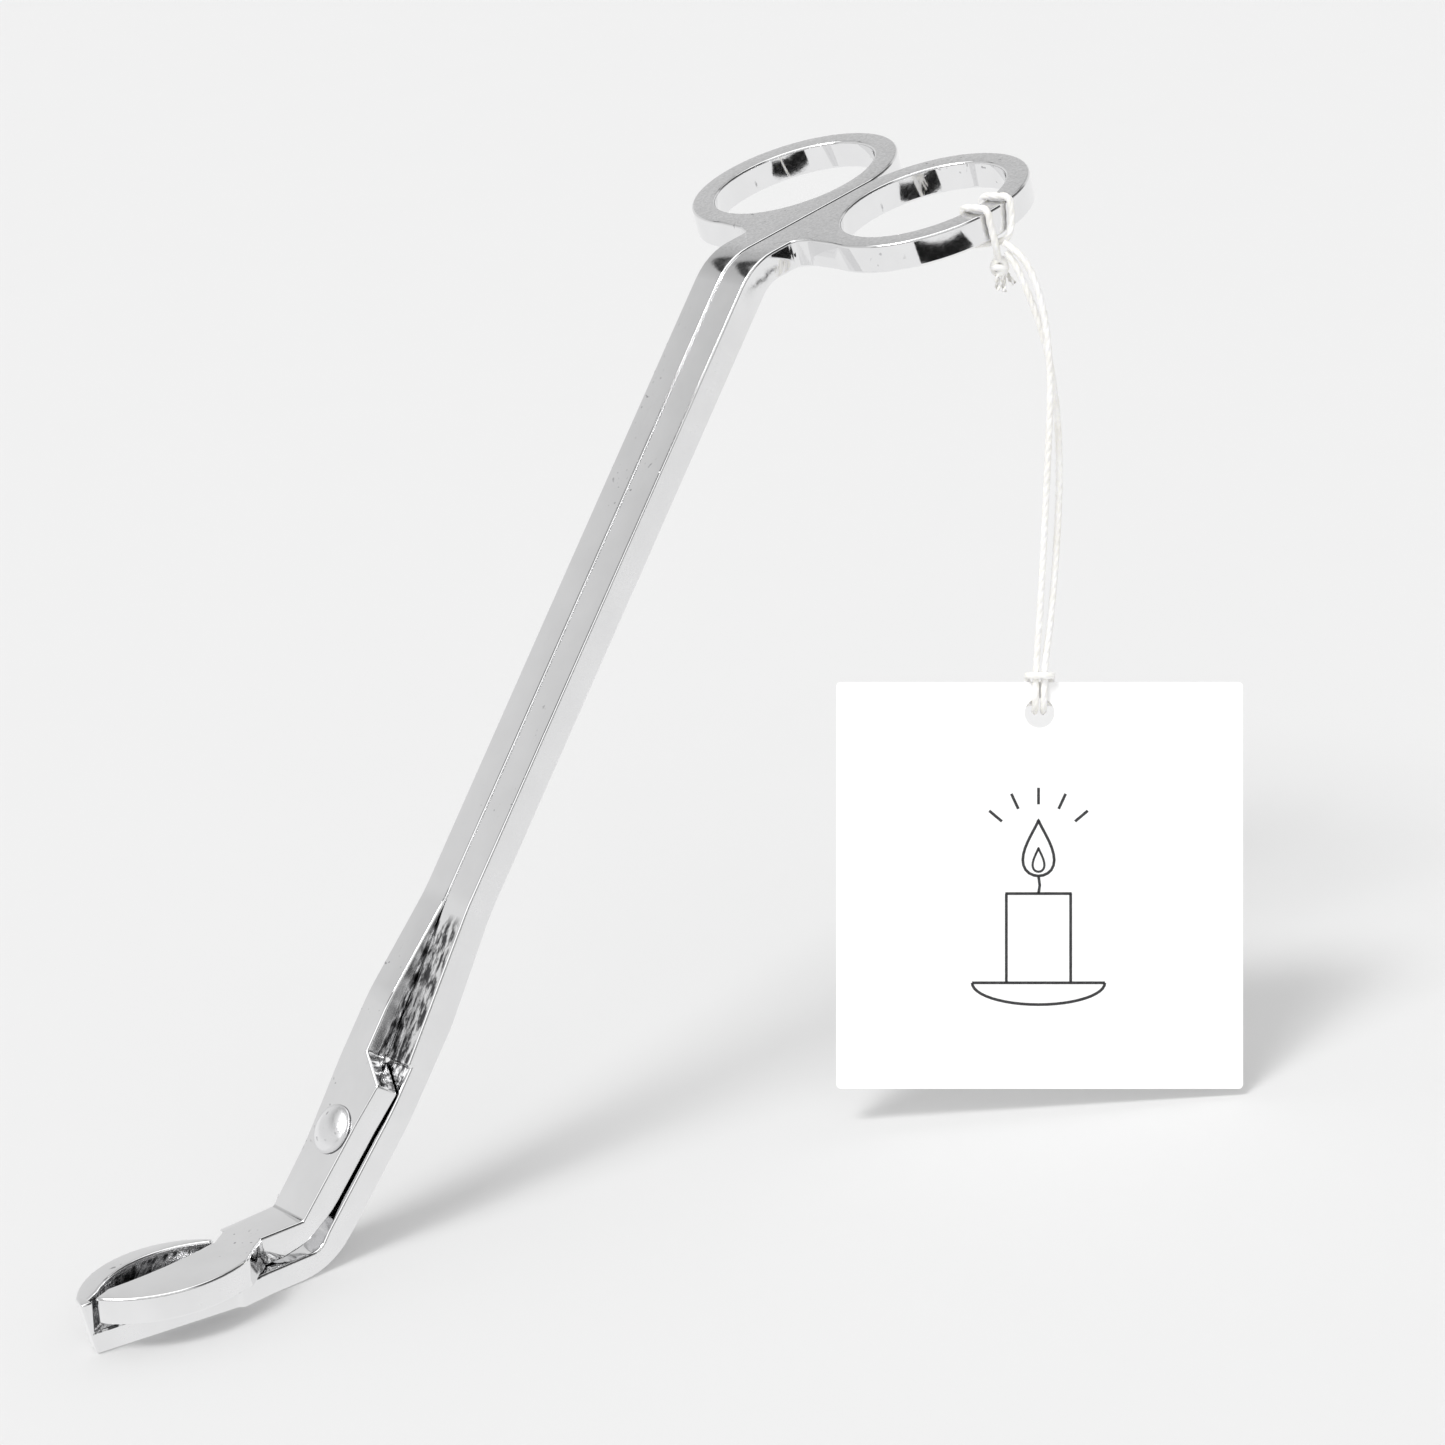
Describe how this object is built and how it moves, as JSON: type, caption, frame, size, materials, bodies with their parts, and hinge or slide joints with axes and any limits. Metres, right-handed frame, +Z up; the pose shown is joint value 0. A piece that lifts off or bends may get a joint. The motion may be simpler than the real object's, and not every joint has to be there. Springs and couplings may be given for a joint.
{
  "type": "candle wick trimmer",
  "caption": "Scissor-action wick trimmer with two finger rings, a bent shank, a riveted pivot, a half-disc blade that closes over a rimmed tray, and a square hang tag on a string.",
  "frame": {"origin": "middle of the finger grip, on the middle plane between the two closed rings, half way through their thickness", "axes": "+X level, from the cutting head towards the rings; +Y towards the far ring, which is the blade lever's; +Z up. The tray's underside is level."},
  "size_m": [0.1509, 0.0782, 0.1138],
  "materials": {
    "steel": "satin-polished stainless steel",
    "rivet_steel": "polished",
    "card": "matt coated card",
    "string": "twisted cotton"
  },
  "bodies": {
    "tray_side": {"tray_lever": "steel", "pivot_rivet": "rivet_steel", "string_hitch": "string", "string_knot": "string"},
    "blade_side": {"blade_lever": "steel"},
    "hang_tag": {"string_near": "string", "string_far": "string", "tag_band": "string", "tag_card": "card"}
  },
  "joints": [
    {"name": "pivot", "type": "hinge", "parent": "tray_side", "child": "blade_side", "pos_m": [-0.0936, 0, -0.09416], "axis": [-0.788, 0, 0.6157], "range_deg": [0, 38]},
    {"name": "tag_swing", "type": "hinge", "parent": "tray_side", "child": "hang_tag", "pos_m": [0.0004, -0.0254, -0.0028], "axis": [0.7534, 0.6576, 0], "range_deg": [-20, 20]}
  ]
}
